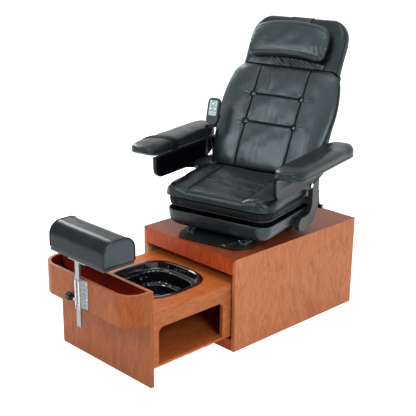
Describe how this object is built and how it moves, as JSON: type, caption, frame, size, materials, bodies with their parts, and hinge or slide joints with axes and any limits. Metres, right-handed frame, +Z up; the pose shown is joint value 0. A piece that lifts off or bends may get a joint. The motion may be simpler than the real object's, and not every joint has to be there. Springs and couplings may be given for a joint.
{
  "type": "pedicure spa chair",
  "caption": "Reclining, swivelling upholstered chair on a wooden cabinet with a pull-out drawer that carries a foot basin, a tool trough and a height-adjustable footrest",
  "frame": {"origin": "centre of the cabinet's footprint on the floor, straight under the seat's swivel axis", "axes": "+X to the right of a person who faces the chair, across the cabinet; +Y from the footrest to the back; +Z up"},
  "size_m": [1.0198, 1.6579, 1.4252],
  "materials": {
    "veneer": "satin cherry veneer",
    "veneer_dark": "satin cherry veneer, deeper in the trough",
    "plywood": "bare plywood",
    "board_black": "plywood painted black",
    "runner_steel": "zinc plated",
    "rail_steel": "plain steel",
    "bracket_zinc": "bright zinc",
    "screw_chrome": "polished",
    "black_steel": "black powder coat",
    "basin_plastic": "glossy black",
    "black_plastic": "fine texture",
    "panel_plastic": "pale face",
    "key_plastic": "pale keys",
    "leather": "black upholstery, soft sheen",
    "button_leather": "covered button",
    "skirt_cloth": "gathered black cloth",
    "motor_steel": "grey cases",
    "cord_rubber": "black sheath"
  },
  "bodies": {
    "cabinet": {"cabinet_side_left": "veneer", "cabinet_side_right": "veneer", "cabinet_top": "veneer", "cabinet_apron": "veneer", "cabinet_back": "veneer", "cabinet_plinth": "veneer", "cabinet_base": "plywood", "runner_bearers": "plywood", "corner_blocks": "plywood", "runner_outers": "runner_steel", "swivel_ring": "rail_steel"},
    "runner_mid": {"runner_middles": "runner_steel"},
    "drawer": {"drawer_front": "veneer", "tray_wall": "veneer", "tray_floor": "veneer_dark", "drawer_side_left": "veneer", "drawer_side_right": "veneer", "drawer_deck": "veneer", "drawer_floor": "veneer", "drawer_back": "veneer", "runner_inners": "runner_steel", "footrest_bracket": "bracket_zinc", "bracket_screws": "screw_chrome"},
    "basin": {"basin_tub": "basin_plastic"},
    "footrest": {"footrest_post": "bracket_zinc", "footrest_board": "board_black", "footrest_cushion": "leather"},
    "clamp": {"clamp_knob": "black_plastic"},
    "swivel": {"swivel_plate": "black_steel", "rail_lowers": "rail_steel"},
    "slide_catch": {"slide_lever": "bracket_zinc"},
    "seat": {"rail_uppers": "rail_steel", "seat_shell": "leather", "seat_frame": "black_steel", "seat_border": "leather", "seat_cushion": "leather", "control_box": "black_plastic", "arm_brackets": "black_steel", "arm_pivots": "screw_chrome", "recline_brackets": "black_steel", "handset_holder": "black_plastic", "handset_cord": "cord_rubber"},
    "recline_catch": {"recline_lever": "black_steel"},
    "back": {"back_frame": "plywood", "back_shell": "leather", "back_cushion": "leather", "back_buttons": "button_leather", "massage_motors": "motor_steel", "pillow": "leather", "pillow_skirt": "skirt_cloth", "pillow_strap": "skirt_cloth"},
    "arm_left": {"arm_pad_left": "leather", "arm_panel_left": "leather"},
    "arm_right": {"arm_pad_right": "leather", "arm_panel_right": "leather"},
    "handset": {"handset_case": "black_plastic", "handset_panel": "panel_plastic"},
    "key_a": {"key_1": "key_plastic"},
    "key_b": {"key_2": "key_plastic"},
    "key_c": {"key_3": "key_plastic"}
  },
  "joints": [
    {"name": "drawer_slide", "type": "slide", "parent": "cabinet", "child": "drawer", "axis": [0, 1, 0], "range_m": [0, 0.495]},
    {"name": "runner_slide", "type": "slide", "parent": "cabinet", "child": "runner_mid", "axis": [0, 1, 0], "range_m": [0, 0.2475]},
    {"name": "basin_lift", "type": "slide", "parent": "drawer", "child": "basin", "axis": [0, 0, -1], "range_m": [-0.16, 0]},
    {"name": "footrest_height", "type": "slide", "parent": "drawer", "child": "footrest", "axis": [0, 0, 1], "range_m": [-0.08, 0.14]},
    {"name": "clamp_turn", "type": "hinge", "parent": "drawer", "child": "clamp", "pos_m": [0, -1.0905, 0.36], "axis": [1, 0, 0], "range_deg": [-540, 0]},
    {"name": "seat_swivel", "type": "hinge", "parent": "cabinet", "child": "swivel", "pos_m": [0, 0, 0.468], "axis": [0, 0, 1], "range_deg": [-103, 77]},
    {"name": "seat_slide", "type": "slide", "parent": "swivel", "child": "seat", "axis": [-0.225, 0.9744, 0], "range_m": [-0.06, 0.1]},
    {"name": "slide_release", "type": "hinge", "parent": "swivel", "child": "slide_catch", "pos_m": [0.18246, -0.26577, 0.48], "axis": [0, 0, 1], "range_deg": [0, 20], "stiffness_Nm_per_rad": 0.8},
    {"name": "back_recline", "type": "hinge", "parent": "seat", "child": "back", "pos_m": [-0.02474, 0.10718, 0.69], "axis": [-0.9744, -0.225, 0], "range_deg": [-10, 30]},
    {"name": "recline_release", "type": "hinge", "parent": "seat", "child": "recline_catch", "pos_m": [0.25902, 0.19835, 0.64], "axis": [0.9744, 0.225, 0], "range_deg": [0, 25], "stiffness_Nm_per_rad": 1.2},
    {"name": "arm_left_lift", "type": "hinge", "parent": "seat", "child": "arm_left", "pos_m": [-0.31397, -0.09814, 0.72], "axis": [0.9744, 0.225, 0], "range_deg": [-70, 0]},
    {"name": "arm_right_lift", "type": "hinge", "parent": "seat", "child": "arm_right", "pos_m": [0.32522, 0.04942, 0.72], "axis": [0.9744, 0.225, 0], "range_deg": [-70, 0]},
    {"name": "handset_lift", "type": "slide", "parent": "seat", "child": "handset", "axis": [-0.0544, 0.2357, 0.9703], "range_m": [0, 0.1], "deforming": ["handset_cord"]},
    {"name": "key_1_press", "type": "slide", "parent": "handset", "child": "key_a", "axis": [-0.2183, 0.9454, -0.2419], "range_m": [0, 0.001], "stiffness_N_per_m": 250},
    {"name": "key_2_press", "type": "slide", "parent": "handset", "child": "key_b", "axis": [-0.2183, 0.9454, -0.2419], "range_m": [0, 0.001], "stiffness_N_per_m": 250},
    {"name": "key_3_press", "type": "slide", "parent": "handset", "child": "key_c", "axis": [-0.2183, 0.9454, -0.2419], "range_m": [0, 0.001], "stiffness_N_per_m": 250}
  ],
  "couplings": [
    {"joint": "runner_slide", "follows": "drawer_slide", "ratio": 0.5}
  ]
}
